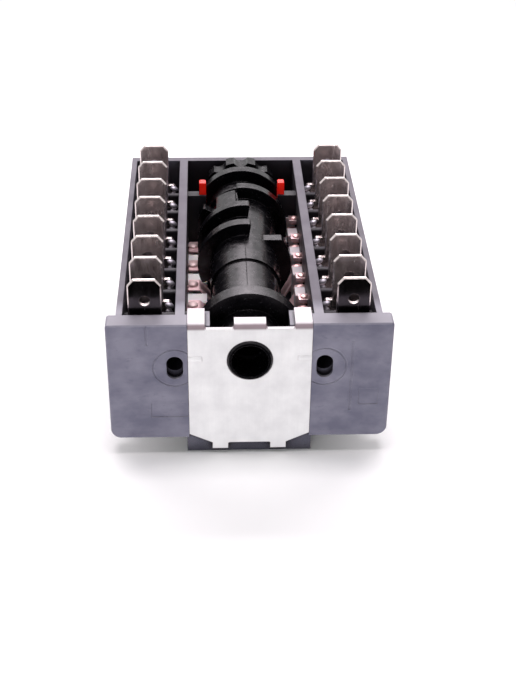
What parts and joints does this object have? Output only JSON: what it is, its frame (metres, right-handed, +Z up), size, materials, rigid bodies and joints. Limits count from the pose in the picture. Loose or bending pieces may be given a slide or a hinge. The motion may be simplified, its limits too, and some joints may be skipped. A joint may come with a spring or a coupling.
{
  "type": "rotary selector switch",
  "caption": "Long rotary oven selector switch with an open moulded body, a cam shaft along its middle, rows of push-on blade terminals along both sides and a folded steel front plate.",
  "frame": {"origin": "centre of the spindle bore, in the plane of the front face that goes against the panel", "axes": "+Y runs to the rear along the cam shaft, +Z up towards the open side and the blade tips, +X to the right seen from the front"},
  "size_m": [0.0532, 0.0739, 0.036],
  "materials": {
    "housing_plastic": "satin moulded thermoset",
    "shaft_plastic": "fine satin",
    "plate_steel": "zinc plated, satin",
    "terminal_metal": "tinned, semi-bright",
    "leaf_copper": "bright copper alloy",
    "contact_silver": "bright silver",
    "rivet_copper": "bright",
    "comb_plastic": "natural nylon",
    "liner_plastic": "gloss",
    "ball_steel": "polished",
    "spring_steel": "drawn wire"
  },
  "bodies": {
    "base": {"housing": "housing_plastic", "front_plate": "plate_steel", "left_terminal_1": "terminal_metal", "right_terminal_1": "terminal_metal", "left_terminal_2": "terminal_metal", "right_terminal_2": "terminal_metal", "left_terminal_3": "terminal_metal", "right_terminal_3": "terminal_metal", "left_terminal_4": "terminal_metal", "right_terminal_4": "terminal_metal", "left_terminal_5": "terminal_metal", "right_terminal_5": "terminal_metal", "left_terminal_6": "terminal_metal", "right_terminal_6": "terminal_metal", "left_terminal_7": "terminal_metal", "right_terminal_7": "terminal_metal", "left_terminal_8": "terminal_metal", "right_terminal_8": "terminal_metal", "fixed_contacts": "contact_silver", "leaf_rivets": "rivet_copper", "left_comb": "comb_plastic", "right_comb": "comb_plastic", "bearing_liner": "liner_plastic", "detent_spring": "spring_steel"},
    "camshaft": {"camshaft": "shaft_plastic"},
    "leaf_1": {"contact_leaf_1": "leaf_copper", "moving_contact_1": "contact_silver"},
    "leaf_2": {"contact_leaf_2": "leaf_copper", "moving_contact_2": "contact_silver"},
    "leaf_3": {"contact_leaf_3": "leaf_copper", "moving_contact_3": "contact_silver"},
    "leaf_4": {"contact_leaf_4": "leaf_copper", "moving_contact_4": "contact_silver"},
    "leaf_5": {"contact_leaf_5": "leaf_copper", "moving_contact_5": "contact_silver"},
    "leaf_6": {"contact_leaf_6": "leaf_copper", "moving_contact_6": "contact_silver"},
    "ball": {"detent_ball": "ball_steel"}
  },
  "joints": [
    {"name": "camshaft_turn", "type": "hinge", "parent": "base", "child": "camshaft", "pos_m": [0, 0, 0], "axis": [0, 1, 0], "continuous": true},
    {"name": "leaf_1_flex", "type": "hinge", "parent": "base", "child": "leaf_1", "pos_m": [-0.0099, 0.02015, -0.00545], "axis": [0, 1, 0], "range_deg": [0, 3], "stiffness_Nm_per_rad": 0.15, "springref_deg": -3.44},
    {"name": "leaf_2_flex", "type": "hinge", "parent": "base", "child": "leaf_2", "pos_m": [-0.0099, 0.02865, -0.00545], "axis": [0, 1, 0], "range_deg": [0, 3], "stiffness_Nm_per_rad": 0.15, "springref_deg": -3.44},
    {"name": "leaf_3_flex", "type": "hinge", "parent": "base", "child": "leaf_3", "pos_m": [-0.0099, 0.03715, -0.00545], "axis": [0, 1, 0], "range_deg": [0, 3], "stiffness_Nm_per_rad": 0.15, "springref_deg": -3.44},
    {"name": "leaf_4_flex", "type": "hinge", "parent": "base", "child": "leaf_4", "pos_m": [-0.0099, 0.04565, -0.00545], "axis": [0, 1, 0], "range_deg": [0, 3], "stiffness_Nm_per_rad": 0.15, "springref_deg": -3.44},
    {"name": "leaf_5_flex", "type": "hinge", "parent": "base", "child": "leaf_5", "pos_m": [-0.0099, 0.05415, -0.00545], "axis": [0, 1, 0], "range_deg": [0, 3], "stiffness_Nm_per_rad": 0.15, "springref_deg": -3.44},
    {"name": "leaf_6_flex", "type": "hinge", "parent": "base", "child": "leaf_6", "pos_m": [-0.0099, 0.06265, -0.00545], "axis": [0, 1, 0], "range_deg": [0, 3], "stiffness_Nm_per_rad": 0.15, "springref_deg": -3.44},
    {"name": "ball_drop", "type": "slide", "parent": "base", "child": "ball", "axis": [0, 0, -1], "range_m": [0, 0.0009], "stiffness_N_per_m": 900, "springref_m": -0.002, "deforming": ["detent_spring"]}
  ]
}
